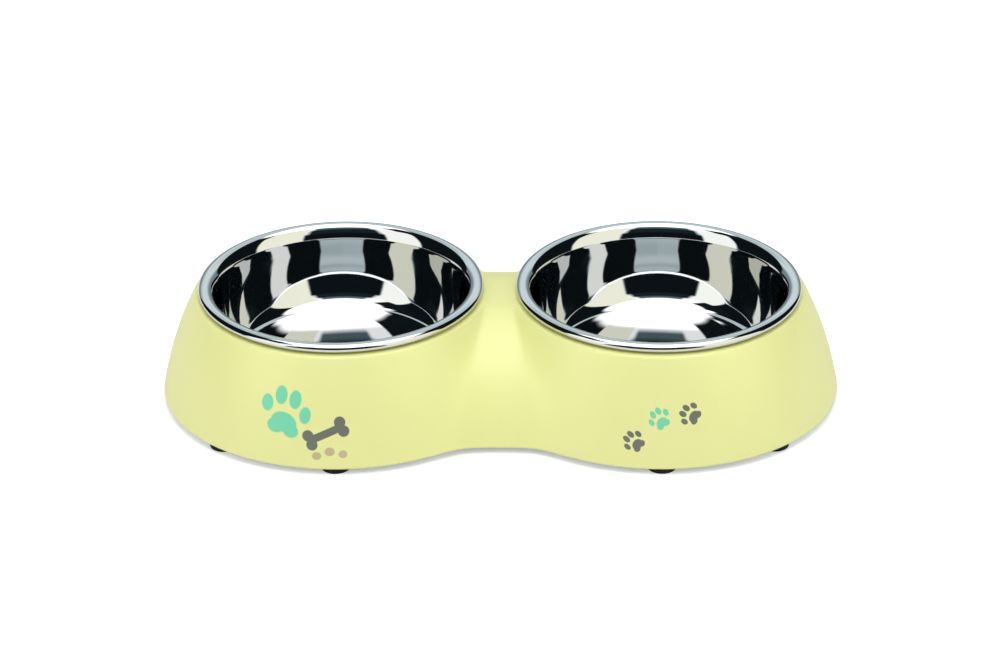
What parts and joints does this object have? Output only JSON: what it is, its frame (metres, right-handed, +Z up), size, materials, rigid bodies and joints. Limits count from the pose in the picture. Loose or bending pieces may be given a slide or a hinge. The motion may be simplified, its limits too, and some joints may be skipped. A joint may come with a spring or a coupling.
{
  "type": "double pet bowl",
  "caption": "Peanut-shaped moulded pet feeder, hollow underneath, with polished steel bowls that lift out of its round wells, on rubber feet.",
  "frame": {"origin": "on the floor under the feet, midway between the bowls", "axes": "+X from the left bowl to the right bowl, -Y to the front, +Z up"},
  "size_m": [0.332, 0.177, 0.0591],
  "materials": {
    "shell": "moulded melamine, glossy pale lemon yellow",
    "bowl": "pressed stainless steel, mirror polished",
    "foot": "soft black rubber"
  },
  "bodies": {
    "base": {"base_shell": "shell", "foot_left_front": "foot", "foot_left_front_outer": "foot", "foot_left_back_outer": "foot", "foot_left_back": "foot", "foot_right_front": "foot", "foot_right_front_outer": "foot", "foot_right_back_outer": "foot", "foot_right_back": "foot"},
    "bowl_left": {"bowl_left": "bowl"},
    "bowl_right": {"bowl_right": "bowl"}
  },
  "joints": [
    {"name": "bowl_left_lift", "type": "slide", "parent": "base", "child": "bowl_left", "axis": [0, 0, 1], "range_m": [0, 0.045]},
    {"name": "bowl_right_lift", "type": "slide", "parent": "base", "child": "bowl_right", "axis": [0, 0, 1], "range_m": [0, 0.045]}
  ]
}
